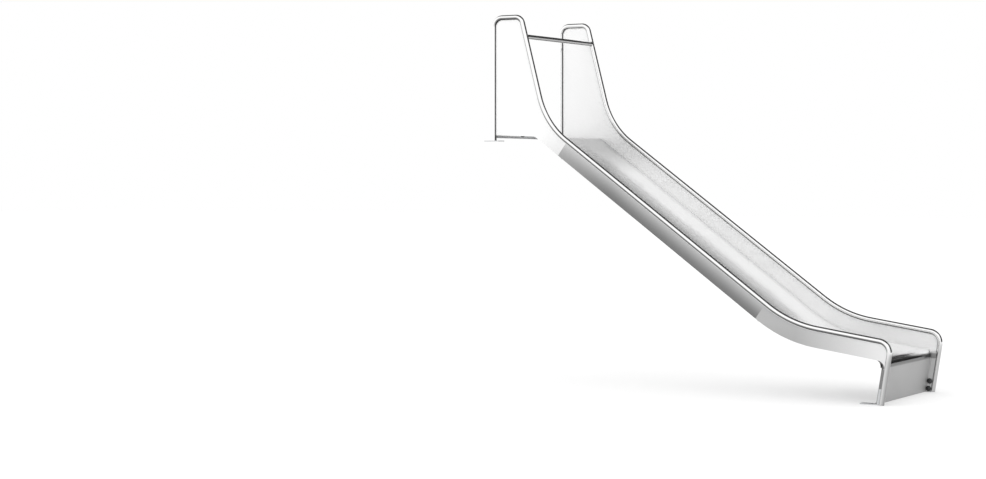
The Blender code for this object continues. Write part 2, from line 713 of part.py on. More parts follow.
def channel_outline(point, direction):
    """A channel that opens up against the bed, at a point of the bed's surface."""
    down = right_of(direction)
    top, low = SHEET + GAP, SHEET + GAP + CHANNEL_DEPTH
    outer, inner = CHANNEL_WIDTH / 2, CHANNEL_WIDTH / 2 - CHANNEL_WALL
    steps = [
        (-outer, top), (-outer, low), (outer, low), (outer, top),
        (inner, top), (inner, low - CHANNEL_WALL), (-inner, low - CHANNEL_WALL), (-inner, top),
    ]
    return [point + direction * along + down * depth for along, depth in steps]


def make_channels():
    """Cross channels that stiffen the bed from below."""
    top, bottom = at_seam(UPPER_SEAM, BED_DEPTH, 0), at_seam(LOWER_SEAM, BED_DEPTH, 0)
    for index in range(1, SLOPE_CHANNELS + 1):
        point = top.lerp(bottom, index / (SLOPE_CHANNELS + 1))
        finish(profile(f"slope_channel_{index}", channel_outline(point, SLOPE), 0, CHANNEL_LENGTH), FASTENER_STEEL)
    start_middle = BED_START.lerp(BROW, 0.5)
    finish(profile("start_channel", channel_outline(start_middle, START), 0, CHANNEL_LENGTH), FASTENER_STEEL)
    bend_end = tangent_length(BROW, BED_DIP, BED_END, LOWER_BEND + BED_DEPTH)
    flat = BED_DIP + RUNOUT * bend_end
    runout_middle = flat.lerp(BED_END, 0.5)
    finish(profile("runout_channel", channel_outline(runout_middle, RUNOUT), 0, CHANNEL_LENGTH), FASTENER_STEEL)


clear_scene()
SLIDE = new_collection("embankment_slide")
HELPERS = new_collection("cutters")
HELPERS.hide_render = True
make_rails()
make_spigots()
make_bed()
make_sides()
make_cross_bar()
bolt_cutters = plate_bolt_cutters()
make_end_plate(bolt_cutters)
make_exit_feet(bolt_cutters)
make_plate_fasteners()
make_start_feet()
make_joints()
make_channels()
print("start bed", round(BED_START.y, 3), "m above the exit ground, top of the guards", round(ENTRY_CORNER.y, 3))
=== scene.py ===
import json
import math

import bmesh
import bpy
from mathutils import Matrix, Vector


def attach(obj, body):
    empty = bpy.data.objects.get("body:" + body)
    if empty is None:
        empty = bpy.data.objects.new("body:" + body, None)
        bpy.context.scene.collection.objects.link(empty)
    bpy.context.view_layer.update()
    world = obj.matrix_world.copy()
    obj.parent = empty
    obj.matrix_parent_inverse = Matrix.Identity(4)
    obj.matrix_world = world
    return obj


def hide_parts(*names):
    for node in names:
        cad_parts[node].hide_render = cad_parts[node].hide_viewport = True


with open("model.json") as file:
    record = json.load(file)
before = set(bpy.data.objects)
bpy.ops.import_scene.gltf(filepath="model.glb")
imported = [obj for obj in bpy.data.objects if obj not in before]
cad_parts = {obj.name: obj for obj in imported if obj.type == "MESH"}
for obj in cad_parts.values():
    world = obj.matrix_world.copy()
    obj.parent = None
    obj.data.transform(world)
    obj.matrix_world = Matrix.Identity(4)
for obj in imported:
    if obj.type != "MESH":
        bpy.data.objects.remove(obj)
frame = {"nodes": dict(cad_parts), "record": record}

scene = bpy.context.scene
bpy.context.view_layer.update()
print("frame loaded:", len(frame["nodes"]), "nodes")

# Side profile, in metres and degrees. Points are (x, z), walked from the start down to the exit
profile = {
    "railSpacing": 1.080,  # between the tubes' centre lines
    "railRadius": 0.019,
    "postLean": 9.2,
    "postHeight": 0.439,
    "runoutFall": 8.4,
    "runoutLength": 0.770,
    "slopeFall": 36.0,
    "slopeLength": 2.492,
    "guardRake": 14.8,  # from the vertical
    "guardLength": 0.857,
    "guardTop": 0.244,  # between its corners
    "railBends": [0.074, 0.062, 0.600, 0.866, 0.084],  # entry, guard, brow, dip and exit
    "seamStraight": 0.020,  # from the end of a bend to the seam
    "seamGap": 0.0003,
    "legDrop": 0.045,  # under the start bed
    "bedDepth": 0.135,  # under the rails' centre line
    "sheet": 0.0025,
    "startLength": 0.368,  # from the start leg to the brow
    "startFall": 2.4,
    "startLip": 0.025,
    "lipBend": 0.008,
    "browBend": 0.060,
    "rollRadius": 0.050,
    "sideFillet": 0.057,
    "plateSetback": 0.047,  # from the post's centre line
    "sillDepth": 0.040,
}


def heading(degrees):
    return Vector((math.cos(math.radians(degrees)), math.sin(math.radians(degrees))))


def rightOf(direction):
    return Vector((direction.y, -direction.x))


def crossing(point, direction, other, otherDirection):
    return point + direction * ((other - point).cross(otherDirection) / direction.cross(otherDirection))


def turnAt(before, corner, after):
    into, out = corner - before, after - corner
    return math.atan2(into.cross(out), into.dot(out))


def tangentLength(before, corner, after, radius):
    return radius * math.tan(abs(turnAt(before, corner, after)) / 2)


def parallel(corners, bends, distance):
    # the same walk at a distance to its right, with concentric bends
    ways = [(after - before).normalized() for before, after in zip(corners, corners[1:])]
    shifted = [corners[0] + rightOf(ways[0]) * distance]
    for corner, into, out in zip(corners[1:], ways, ways[1:]):
        first, second = corner + rightOf(into) * distance, corner + rightOf(out) * distance
        shifted.append(crossing(first, into, second, out))
    shifted.append(corners[-1] + rightOf(ways[-1]) * distance)
    turns = [turnAt(*corners[index:index + 3]) for index in range(len(bends))]
    return shifted, [bend + distance * math.copysign(1, turn) for bend, turn in zip(bends, turns)]


p = profile
gap, halfSpacing = p["seamGap"], p["railSpacing"] / 2
railReach = p["railRadius"] + gap
bedHalfWidth = halfSpacing - p["sheet"] / 2 - gap
flangeInner = halfSpacing - p["railRadius"] - gap - p["sheet"]
post, runout = heading(-90 - p["postLean"]), heading(-p["runoutFall"])
slope, guard, start = heading(-p["slopeFall"]), heading(p["guardRake"] - 90), heading(-p["startFall"])
plateFoot = Vector((p["sillDepth"] / 2, 0))
postFoot = plateFoot + Vector((p["plateSetback"] / math.cos(math.radians(p["postLean"])), 0))
exitCorner = postFoot - post * (p["postHeight"] / -post.y)
lowerCorner = exitCorner - runout * p["runoutLength"]
upperCorner = lowerCorner - slope * p["slopeLength"]
guardCorner = upperCorner - guard * p["guardLength"]
entryCorner = guardCorner - Vector((p["guardTop"], 0))
bedSlope = upperCorner + rightOf(slope) * p["bedDepth"]
brow = crossing(bedSlope, slope, entryCorner + Vector((p["startLength"], 0)), Vector((0, 1)))
bedStart = crossing(brow, start, entryCorner + Vector((railReach, 0)), Vector((0, 1)))
bedDip = crossing(bedSlope, slope, lowerCorner + rightOf(runout) * p["bedDepth"], runout)
bedEnd = crossing(bedDip, runout, plateFoot, post)
rollEnd = bedEnd + post * tangentLength(bedDip, bedEnd, plateFoot, p["rollRadius"])
legEnd = Vector((entryCorner.x, bedStart.y - p["legDrop"]))
postEnd = postFoot - post * (p["railRadius"] * math.tan(math.radians(p["postLean"])))
railCorners = [legEnd, entryCorner, guardCorner, upperCorner, lowerCorner, exitCorner, postEnd]
bedCorners = [bedStart - Vector((0, p["startLip"])), bedStart, brow, bedDip, bedEnd, rollEnd]
bedBends = [p["lipBend"], p["browBend"], p["railBends"][3] + p["bedDepth"], p["rollRadius"]]
upperSeam = upperCorner + slope * (tangentLength(*railCorners[2:5], p["railBends"][2]) + p["seamStraight"])
lowerSeam = lowerCorner - slope * (tangentLength(*railCorners[3:6], p["railBends"][3]) + p["seamStraight"])
sides = {"left": 1, "right": -1}
modules = ("start", "middle", "exit")
print("side profile worked out, start bed", round(bedStart.y, 3), "m up")


def atSeam(seam, depth, along):
    return seam + rightOf(slope) * depth + slope * along


def moduleLine(module, corners, bends, depth, seamDepth):
    # one module's share of the rail or of the bed, at a depth to the right of the walk
    shifted, rounded = parallel(corners, bends, depth)
    upper, lower = atSeam(upperSeam, seamDepth, gap / 2), atSeam(lowerSeam, seamDepth, -gap / 2)
    if module == "middle":
        return [upper, lower], []
    last = len(corners) - 4  # the last corner above the slope, as three lie below it
    if module == "start":
        return shifted[:last + 1] + [upper - slope * gap], rounded[:last]
    return [lower + slope * gap] + shifted[last + 1:], rounded[last:]


def railLine(module, depth=0.0):
    return moduleLine(module, railCorners, p["railBends"], depth, depth)


def bedLine(module, depth=0.0):
    return moduleLine(module, bedCorners, bedBends, depth, p["bedDepth"] + depth)


modelling = {
    "bendStep": 4,
    "longStep": 0.030,  # the longest step round a bend
    "support": 0.008,  # a short step beside each bend, which keeps the shading of the flat stretch flat
    "ringSides": 48,
    "sharpAngle": 28,
    "merge": 2e-5,
}


def spotOf(point, across=0.0):
    return Vector((point.x, across, point.y))


def turnAbout(centre, angle, axis):
    return Matrix.Translation(centre) @ Matrix.Rotation(angle, 4, axis) @ Matrix.Translation(-centre)


def movesAlong(corners, bends):
    # each move is one step's matrix, its length, and how many such steps follow each other
    at = corners[0]
    for before, corner, after, bend in zip(corners, corners[1:], corners[2:], bends):
        into, out = (corner - before).normalized(), (after - corner).normalized()
        reach = tangentLength(before, corner, after, bend)
        turn = turnAt(before, corner, after)
        begin = corner - into * reach
        yield from straightMoves(begin - at)
        if bend > 0:
            centre = spotOf(begin - rightOf(into) * math.copysign(bend, turn))
            arc = abs(turn) * bend
            steps = abs(turn) / math.radians(modelling["bendStep"]), arc / modelling["longStep"]
            count = math.ceil(max(steps))
            yield turnAbout(centre, -turn / count, "Y"), arc / count, count
        at = corner + out * reach
    yield from straightMoves(corners[-1] - at)


def straightMoves(way):
    if way.length < modelling["merge"]:
        return
    edge = min(modelling["support"], way.length / 3)
    for length in (edge, way.length - 2 * edge, edge):
        yield Matrix.Translation(spotOf(way.normalized() * length)), length, 1


def newShape():
    shape = bmesh.new()
    shape.verts.layers.float_vector.new("grain")
    return shape


def nextPoint(shape, tip, place=None):
    # draws an edge from the tip to a new point
    tip = bmesh.ops.extrude_vert_indiv(shape, verts=[tip])["verts"][0]
    if place is not None:
        tip.co = place
    return tip


def extrude(shape, edges):
    # gives the new points, and the new edges between them
    made = bmesh.ops.extrude_edge_only(shape, edges=edges)["geom"]
    verts = [part for part in made if isinstance(part, bmesh.types.BMVert)]
    fresh = set(verts)
    edges = [part for part in made if isinstance(part, bmesh.types.BMEdge) and fresh.issuperset(part.verts)]
    return verts, edges


def sweep(shape, edges, corners, bends):
    # extrudes edges along a walk, and notes how far along it each point lies
    grain = shape.verts.layers.float_vector["grain"]
    for matrix, length, count in movesAlong(corners, bends):
        for _ in range(count):
            verts, edges = extrude(shape, edges)
            bmesh.ops.transform(shape, matrix=matrix, verts=verts)
            for vert in verts:
                vert[grain] += Vector((length, 0, 0))
    return edges


def drawOutline(shape, corners, bends):
    # a closed loop of edges round the corners, where a bend of 0 is sharp, filled as one face
    loop = corners + [corners[0]]
    tip = shape.verts.new(spotOf(loop[0]))
    for matrix, _, count in movesAlong(loop, bends):
        for _ in range(count):
            tip = nextPoint(shape, tip)
            bmesh.ops.transform(shape, matrix=matrix, verts=[tip])
    bmesh.ops.remove_doubles(shape, verts=shape.verts, dist=modelling["merge"])
    bmesh.ops.contextual_create(shape, geom=shape.edges[:])


def frameAt(point, direction, across):
    # a frame whose Z runs along the walk and whose X lies across the slide
    along, side = spotOf(direction), Vector((0, 1, 0))
    turn = Matrix((side, along.cross(side), along)).transposed().to_4x4()
    return Matrix.Translation(spotOf(point, across)) @ turn


def finishPiece(name, shape, material, replaced=()):
    mesh = bpy.data.meshes.new(name)
    shape.to_mesh(mesh)
    shape.free()
    mesh.shade_smooth()
    mesh.set_sharp_from_angle(angle=math.radians(modelling["sharpAngle"]))
    mesh.materials.append(material)
    piece = bpy.data.objects.new(name, mesh)
    scene.collection.objects.link(piece)
    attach(piece, "root")
    if replaced:
        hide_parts(*replaced)


def pointsOutwards(shape, normal):
    # turns an open sheet so that its largest face looks along the normal
    bmesh.ops.recalc_face_normals(shape, faces=shape.faces)
    shape.normal_update()
    if max(shape.faces, key=lambda face: face.calc_area()).normal.dot(normal) < 0:
        bmesh.ops.reverse_faces(shape, faces=shape.faces)


def addTube(shape, corners, bends, across, radius, ringSides, wall=0.0):
    grain = shape.verts.layers.float_vector["grain"]
    where = frameAt(corners[0], (corners[1] - corners[0]).normalized(), across)
    old = set(shape.verts)
    ring = bmesh.ops.create_circle(
        shape, cap_ends=False, segments=ringSides, radius=radius, matrix=where,
    )["verts"]
    back = where.inverted()
    for vert in ring:
        local = back @ vert.co
        vert[grain] = Vector((0, local.x, local.y))
    around = set(ring)
    edges = [edge for edge in shape.edges if around.issuperset(edge.verts)]
    lastRing = sweep(shape, edges, corners, bends)
    faces = [face for face in shape.faces if old.isdisjoint(face.verts)]
    bmesh.ops.recalc_face_normals(shape, faces=faces)
    if wall:
        bmesh.ops.solidify(shape, geom=faces, thickness=wall)
    else:
        for end in (edges, lastRing):
            bmesh.ops.edgeloop_fill(shape, edges=end)


# Materials
finishes = {
    "bed": {"color": (0.97, 0.97, 0.97), "metallic": 0.68, "roughness": 0.17, "fineness": 700.0},
    "side": {"color": (0.97, 0.97, 0.97), "metallic": 0.50, "roughness": 0.34, "fineness": 700.0},
    # the plate's colour, darker than the other steels, is painted shade
    "plate": {"color": (0.41, 0.41, 0.41), "metallic": 0.25, "roughness": 0.42, "fineness": 700.0},
    "rail": {"color": (0.95, 0.95, 0.95), "metallic": 1.0, "roughness": 0.08, "fineness": 400.0},
    "fittings": {
        "color": (0.62, 0.63, 0.64), "metallic": 0.95, "roughness": 0.42, "fineness": 250.0, "bump": 0.1,
    },
    "weld": {
        "color": (0.82, 0.82, 0.82), "metallic": 0.5, "roughness": 0.38, "fineness": 300.0, "bump": 0.03,
    },
    "cap": {"color": (0.016, 0.017, 0.018), "metallic": 0.0, "roughness": 0.12},
}
# the brushing that all the steels share
brushing = {
    "stretch": 0.02,
    "cloudScale": 3.0,
    "noise": {"Streaks": (3.0, 0.6), "Clouds": (4.0, 0.55)},  # detail and roughness
    "streakRange": (0.25, 0.75),
    "streakTones": (0.96, 1.02),
    "cloudRange": (0.3, 0.7),
    "cloudRoughness": (-0.05, 0.05),  # added to the finish's own
    "ridgeHeight": 0.0005,
}


def addSocket(group, name, direction, kind, value=None):
    socket = group.interface.new_socket(name=name, in_out=direction, socket_type=kind)
    if value is not None:
        socket.default_value = value


def makeGrainGroup():
    # brushing: fine streaks along the first axis of the given vector, and slow clouds over the surface
    group = bpy.data.node_groups.new("brushedGrain", "ShaderNodeTree")
    addSocket(group, "Vector", "INPUT", "NodeSocketVector")
    addSocket(group, "Fineness", "INPUT", "NodeSocketFloat", finishes["bed"]["fineness"])
    addSocket(group, "Stretch", "INPUT", "NodeSocketFloat", brushing["stretch"])
    addSocket(group, "Cloud Scale", "INPUT", "NodeSocketFloat", brushing["cloudScale"])
    addSocket(group, "Streaks", "OUTPUT", "NodeSocketFloat")
    addSocket(group, "Clouds", "OUTPUT", "NodeSocketFloat")
    nodes, links = group.nodes, group.links
    given, result = nodes.new("NodeGroupInput"), nodes.new("NodeGroupOutput")
    narrow = nodes.new("ShaderNodeCombineXYZ")
    narrow.inputs["Y"].default_value = 1.0
    narrow.inputs["Z"].default_value = 1.0
    links.new(given.outputs["Stretch"], narrow.inputs["X"])
    stretched = nodes.new("ShaderNodeVectorMath")
    stretched.operation = "MULTIPLY"
    links.new(given.outputs["Vector"], stretched.inputs[0])
    links.new(narrow.outputs["Vector"], stretched.inputs[1])
    for name, source, scale in (("Streaks", stretched, "Fineness"), ("Clouds", given, "Cloud Scale")):
        noise = nodes.new("ShaderNodeTexNoise")
        detail, roughness = brushing["noise"][name]
        noise.inputs["Detail"].default_value = detail
        noise.inputs["Roughness"].default_value = roughness
        links.new(source.outputs["Vector"], noise.inputs["Vector"])
        links.new(given.outputs[scale], noise.inputs["Scale"])
        links.new(noise.outputs["Fac"], result.inputs[name])
    return group


brushedGrain = makeGrainGroup()


def newMaterial(name, finish):
    material = bpy.data.materials.new(name)
    material.use_nodes = True
    shader = material.node_tree.nodes["Principled BSDF"]
    shader.inputs["Base Color"].default_value = (*finish["color"], 1)
    shader.inputs["Metallic"].default_value = finish["metallic"]
    shader.inputs["Roughness"].default_value = finish["roughness"]
    return material, material.node_tree.nodes, material.node_tree.links, shader


def plug(links, source, socket):
    # a plain number is set on the socket, and a node's output is linked to it
    if isinstance(source, (int, float)):
        socket.default_value = source
    else:
        links.new(source, socket)


def rangeNode(nodes, links, source, low, high, toLow, toHigh):
    node = nodes.new("ShaderNodeMapRange")
    for name, value in (("From Min", low), ("From Max", high), ("To Min", toLow), ("To Max", toHigh)):
        node.inputs[name].default_value = value
    links.new(source, node.inputs["Value"])
    return node.outputs["Result"]


def mathNode(nodes, links, operation, *sources):
    node = nodes.new("ShaderNodeMath")
    node.operation = operation
    for source, socket in zip(sources, node.inputs):
        plug(links, source, socket)
    return node.outputs["Value"]


def timesNode(nodes, links, product, *factors):
    for factor in factors:
        product = mathNode(nodes, links, "MULTIPLY", product, factor)
    return product


def mixNode(nodes, links, factor, first, second):
    node = nodes.new("ShaderNodeMix")
    for name, source in (("Factor", factor), ("A", first), ("B", second)):
        plug(links, source, node.inputs[name])
    return node.outputs["Result"]


def dotNode(nodes, links, vector, direction):
    node = nodes.new("ShaderNodeVectorMath")
    node.operation = "DOT_PRODUCT"
    node.inputs[1].default_value = direction
    links.new(vector, node.inputs[0])
    return node.outputs["Value"]


def splitNode(nodes, links, vector):
    node = nodes.new("ShaderNodeSeparateXYZ")
    links.new(vector, node.inputs["Vector"])
    return node.outputs


def makeSteel(name, finish, follows, origin=(0, 0), turn=0.0, paintLight=None):
    # brushed steel, its grain along the piece's own walk or along the X axis of a place on the slide
    material, nodes, links, shader = newMaterial(name, finish)
    objectPlace = nodes.new("ShaderNodeTexCoord").outputs["Object"]
    if follows:
        place = nodes.new("ShaderNodeAttribute")
        place.attribute_name = "grain"
        vector = place.outputs["Vector"]
    else:
        mapping = nodes.new("ShaderNodeMapping")
        mapping.vector_type = "TEXTURE"
        mapping.inputs["Location"].default_value = spotOf(Vector(origin))
        mapping.inputs["Rotation"].default_value = (0, math.radians(turn), 0)
        links.new(objectPlace, mapping.inputs["Vector"])
        vector = mapping.outputs["Vector"]
    grain = nodes.new("ShaderNodeGroup")
    grain.node_tree = brushedGrain
    grain.inputs["Fineness"].default_value = finish["fineness"]
    links.new(vector, grain.inputs["Vector"])
    streaks, clouds = grain.outputs["Streaks"], grain.outputs["Clouds"]
    spread = rangeNode(nodes, links, clouds, *brushing["cloudRange"], *brushing["cloudRoughness"])
    links.new(mathNode(nodes, links, "ADD", spread, finish["roughness"]), shader.inputs["Roughness"])
    tone = rangeNode(nodes, links, streaks, *brushing["streakRange"], *brushing["streakTones"])
    if paintLight:
        tone = timesNode(nodes, links, tone, paintLight(nodes, links, shader, vector, objectPlace))
    tint = nodes.new("ShaderNodeVectorMath")
    tint.operation = "SCALE"
    tint.inputs[0].default_value = finish["color"]
    links.new(tone, tint.inputs["Scale"])
    links.new(tint.outputs["Vector"], shader.inputs["Base Color"])
    if "bump" in finish:
        ridges = nodes.new("ShaderNodeBump")
        ridges.inputs["Strength"].default_value = finish["bump"]
        ridges.inputs["Distance"].default_value = brushing["ridgeHeight"]
        links.new(streaks, ridges.inputs["Height"])
        links.new(ridges.outputs["Normal"], shader.inputs["Normal"])
    return material


# Painted light and shade on each finish, and where its polish changes. A tone is a share of the finish's
# colour
paintedLightAndPolish = {
    # the outer faces' painted shade: its tones at the rail and at the lower edge, the curve between them,
    # and its fade along the slide
    "paintedSideShade": {
        "start": {"rail": 0.87, "edge": 0.75, "bend": 1.0, "from": (0.30, 0.0), "fade": (1.0, 0.0)},
        "middle": {"rail": 0.57, "edge": 0.185, "bend": 1.7, "from": (0.20, 0.75), "fade": (0.75, 1.0)},
        "exit": {"rail": 0.48, "edge": 0.42, "bend": 1.0, "from": (0.05, 1.0), "fade": (1.0, 0.0)},
    },
    "rollPolish": (-0.03, 0.015),  # along the slide, before the roll
    "creaseShade": (0.45, 0.535),  # across the bed, towards each side: painted shade in the creases
    "creaseShadeTone": 0.77,
    "rollShadeEdge": (0.286, 0.300),  # above the floor, and below it the roll is darkened with painted shade
    "rollShadeTone": 0.12,
    "tubeShade": (0.0, -0.28),  # how far the surface looks down, where shade is painted
    "tubeFacing": (-0.1, 0.1),  # from looking inwards to looking outwards
    "tubeShadeTones": (0.62, 0.18),  # on the inner and on the outer side
    "weldShade": (0.61, 0.73),  # of the tube's radius, towards the sheet
    "weldShadeTone": 0.15,
    "brow": (0.05, 0.30),  # downhill of the rail's upper corner, where the painted shade on the bed above it ends
    "browShadeTone": 0.60,
    "flangeFace": (0.005, 0.009),  # in front of the plate, past its bend, where light is painted on the flange's inner face
    "flangeFaceLightTone": 1.42,
    "flangeRim": (0.036, 0.043),  # in front of the plate, at the flange's free edge, where shade is painted
    "flangeRimShadeTone": 0.28,
    "plateTop": (-0.013, -0.007),  # under the roll's end, where a shadow is painted
    "plateTopShadowTone": 0.50,
    "flangeShade": (0.5190, 0.5200),  # across the slide, within a flange's thickness: painted shade on its outer face
    "flangeShadeTone": 0.45,
    "cheek": (0.285, 0.310),  # above the floor, where the flanges reach the sides, with painted light
    "cheekLightTone": 2.1,
    "cheekMetallic": 0.15,
    "footShade": (0.30, 0.42),  # above the floor, with painted shade at the posts' feet
    "footShadeTone": 0.62,
}
w = paintedLightAndPolish


def sidePaintedShade(sideShade):
    # painted shade on the outer face, darker towards the lower edge
    def paintLight(nodes, links, shader, vector, objectPlace):
        local, there = splitNode(nodes, links, vector), splitNode(nodes, links, objectPlace)
        rise = rangeNode(nodes, links, local["Z"], -p["bedDepth"], -p["railRadius"], 0.0, 1.0)
        bent = mathNode(nodes, links, "POWER", rise, sideShade["bend"])
        tone = rangeNode(nodes, links, bent, 0.0, 1.0, sideShade["edge"], sideShade["rail"])
        amount = rangeNode(nodes, links, local["X"], *sideShade["from"], *sideShade["fade"])
        across = mathNode(nodes, links, "ABSOLUTE", there["Y"])
        outside = mathNode(nodes, links, "GREATER_THAN", across, halfSpacing)
        return mixNode(nodes, links, timesNode(nodes, links, amount, outside), 1.0, tone)
    return paintLight


def railPaintedShade(nodes, links, shader, vector, objectPlace):
    # painted shade on the tube's underside, darker on its outer side, on the strip beside the weld, and at
    # the foot of each post
    local, there = splitNode(nodes, links, vector), splitNode(nodes, links, objectPlace)
    normal = splitNode(nodes, links, nodes.new("ShaderNodeNewGeometry").outputs["Normal"])
    weldShade = [-share * p["railRadius"] for share in w["weldShade"]]
    outward = timesNode(nodes, links, there["Y"], normal["Y"])
    looksDown = rangeNode(nodes, links, normal["Z"], *w["tubeShade"], 0.0, 1.0)
    shade = rangeNode(nodes, links, outward, *w["tubeFacing"], *w["tubeShadeTones"])
    under = mixNode(nodes, links, looksDown, 1.0, shade)
    weld = rangeNode(nodes, links, local["Z"], *weldShade, 1.0, w["weldShadeTone"])
    footShade = rangeNode(nodes, links, there["Z"], *w["footShade"], w["footShadeTone"], 1.0)
    return timesNode(nodes, links, under, weld, footShade)


def bedPolishAndShade(nodes, links, shader, vector, objectPlace):
    # the rolled end is polished bright. Painted shade darkens the creases along the sides, the roll below
    # its seam and the bed above the brow
    local, there = splitNode(nodes, links, vector), splitNode(nodes, links, objectPlace)
    polish = rangeNode(nodes, links, there["X"], *w["rollPolish"], finishes["bed"]["metallic"], 1.0)
    links.new(polish, shader.inputs["Metallic"])
    across = mathNode(nodes, links, "ABSOLUTE", local["Y"])
    creaseShade = rangeNode(nodes, links, across, *w["creaseShade"], 1.0, w["creaseShadeTone"])
    # painted shade on the roll below its seam
    seam = rangeNode(nodes, links, there["Z"], *w["rollShadeEdge"], w["rollShadeTone"], 1.0)
    browEdges = [upperCorner.x + reach for reach in w["brow"]]
    startBedShade = rangeNode(nodes, links, there["X"], *browEdges, w["browShadeTone"], 1.0)
    return timesNode(nodes, links, creaseShade, seam, startBedShade)


def platePaintedLight(nodes, links, shader, vector, objectPlace):
    # painted shade on the flanges' outer faces, painted light on their inner faces, painted shade on their
    # rims and under the roll, and at the top the cheeks, brighter all over with painted light
    there = splitNode(nodes, links, objectPlace)
    plain = finishes["plate"]["metallic"]
    metallic = rangeNode(nodes, links, there["Z"], *w["cheek"], plain, w["cheekMetallic"])
    links.new(metallic, shader.inputs["Metallic"])
    across = mathNode(nodes, links, "ABSOLUTE", there["Y"])
    # painted shade on the flanges' outer faces
    outerShade = rangeNode(nodes, links, across, *w["flangeShade"], 1.0, w["flangeShadeTone"])
    front = rightOf(-post)
    depth = dotNode(nodes, links, objectPlace, spotOf(front))
    faceEdges = [front.dot(plateFoot) + reach for reach in w["flangeFace"]]
    rimEdges = [front.dot(plateFoot) + reach for reach in w["flangeRim"]]
    # painted light on the flanges' inner faces, and painted shade on their rims
    face = rangeNode(nodes, links, depth, *faceEdges, 1.0, w["flangeFaceLightTone"])
    rim = rangeNode(nodes, links, depth, *rimEdges, 1.0, w["flangeRimShadeTone"])
    topEdges = [rollEnd.y + reach for reach in w["plateTop"]]
    # painted shadow along the plate's top, under the roll
    under = rangeNode(nodes, links, there["Z"], *topEdges, 1.0, w["plateTopShadowTone"])
    isCheek = rangeNode(nodes, links, there["Z"], *w["cheek"], 0.0, 1.0)
    below = mixNode(nodes, links, isCheek, timesNode(nodes, links, face, rim, outerShade, under), 1.0)
    cheekLight = rangeNode(nodes, links, there["Z"], *w["cheek"], 1.0, w["cheekLightTone"])
    return timesNode(nodes, links, cheekLight, below)


bedSteel = makeSteel("bed_steel", finishes["bed"], True, paintLight=bedPolishAndShade)
# where each side's grain begins, and how steeply it falls
sideGrains = {
    "start": (upperCorner, p["slopeFall"]),
    "middle": (upperCorner, p["slopeFall"]),
    "exit": (lowerCorner, p["runoutFall"]),
}
sideSteels = {
    module: makeSteel(
        f"{module}_side_steel", finishes["side"], False, *place, paintLight=sidePaintedShade(w["paintedSideShade"][module])
    )
    for module, place in sideGrains.items()
}
plateShadedSteel = makeSteel("plate_painted_shade_steel", finishes["plate"], False, turn=90.0, paintLight=platePaintedLight)
railSteel = makeSteel("rail_steel", finishes["rail"], True, paintLight=railPaintedShade)
fittingSteel = makeSteel("fitting_steel", finishes["fittings"], False)
weldSteel = makeSteel("weld_steel", finishes["weld"], True)
capPlastic = newMaterial("cap_plastic", finishes["cap"])[0]
print("materials made")

# Rails
railPieces = {"wall": 0.002}
for side, sign in sides.items():
    for module in modules:
        shape = newShape()
        tube = sign * halfSpacing, p["railRadius"], modelling["ringSides"], railPieces["wall"]
        addTube(shape, *railLine(module), *tube)
        finishPiece(f"{module}Rail_{side}", shape, railSteel, [f"{module}_rail_{side}"])
print("rails swept")


# Beds
bedPieces = {"cuts": 7}  # across the bed


def makeBed(module):
    corners, bends = bedLine(module)
    shape = newShape()
    grain = shape.verts.layers.float_vector["grain"]
    nextPoint(shape, shape.verts.new(spotOf(corners[0], -bedHalfWidth)), spotOf(corners[0], bedHalfWidth))
    bmesh.ops.subdivide_edges(shape, edges=shape.edges[:], cuts=bedPieces["cuts"])
    for vert in shape.verts:
        vert[grain] = Vector((0, vert.co.y, 0))
    sweep(shape, shape.edges[:], corners, bends)
    pointsOutwards(shape, Vector((0, 0, 1)))
    bmesh.ops.solidify(shape, geom=shape.faces[:], thickness=p["sheet"])
    finishPiece(f"{module}Bed", shape, bedSteel, [f"{module}_bed"])


for module in modules:
    makeBed(module)
print("beds swept")


# Sides
def startPanelOutline():
    corners, bends = railLine("start", railReach)
    low, lowBends = bedLine("start", p["sheet"])
    under = crossing(low[1], start, bedStart, Vector((0, 1)))
    return [under] + corners[1:] + [low[-1], low[2]], bends + [0, 0, lowBends[1]]


def middleSideOutline():
    top, _ = railLine("middle", railReach)
    low, _ = bedLine("middle", p["sheet"])
    return top + low[::-1], [0, 0, 0]


def exitSideOutline():
    top, bends = railLine("exit", railReach)
    low, lowBends = bedLine("exit", p["sheet"])
    edge = postFoot + rightOf(post) * railReach
    corner = crossing(low[1], runout, edge, post)
    tip = corner + post * tangentLength(low[1], corner, corner + post, p["sideFillet"])
    return top[:3] + [tip, corner, low[1], low[0]], bends + [0, p["sideFillet"], lowBends[0], 0]


outlines = {"start": startPanelOutline(), "middle": middleSideOutline(), "exit": exitSideOutline()}
nodeNames = {"start": "start_panel", "middle": "middle_side", "exit": "exit_side"}
for side, sign in sides.items():
    for module, (corners, bends) in outlines.items():
        shape = newShape()
        drawOutline(shape, corners, bends)
        bmesh.ops.translate(shape, vec=(0, sign * halfSpacing + p["sheet"] / 2, 0), verts=shape.verts)
        pointsOutwards(shape, Vector((0, 1, 0)))
        bmesh.ops.solidify(shape, geom=shape.faces[:], thickness=p["sheet"])
        finishPiece(
            f"{module}Side_{side}", shape, sideSteels[module], [f"{nodeNames[module]}_{side}"]
        )
print("sides cut")

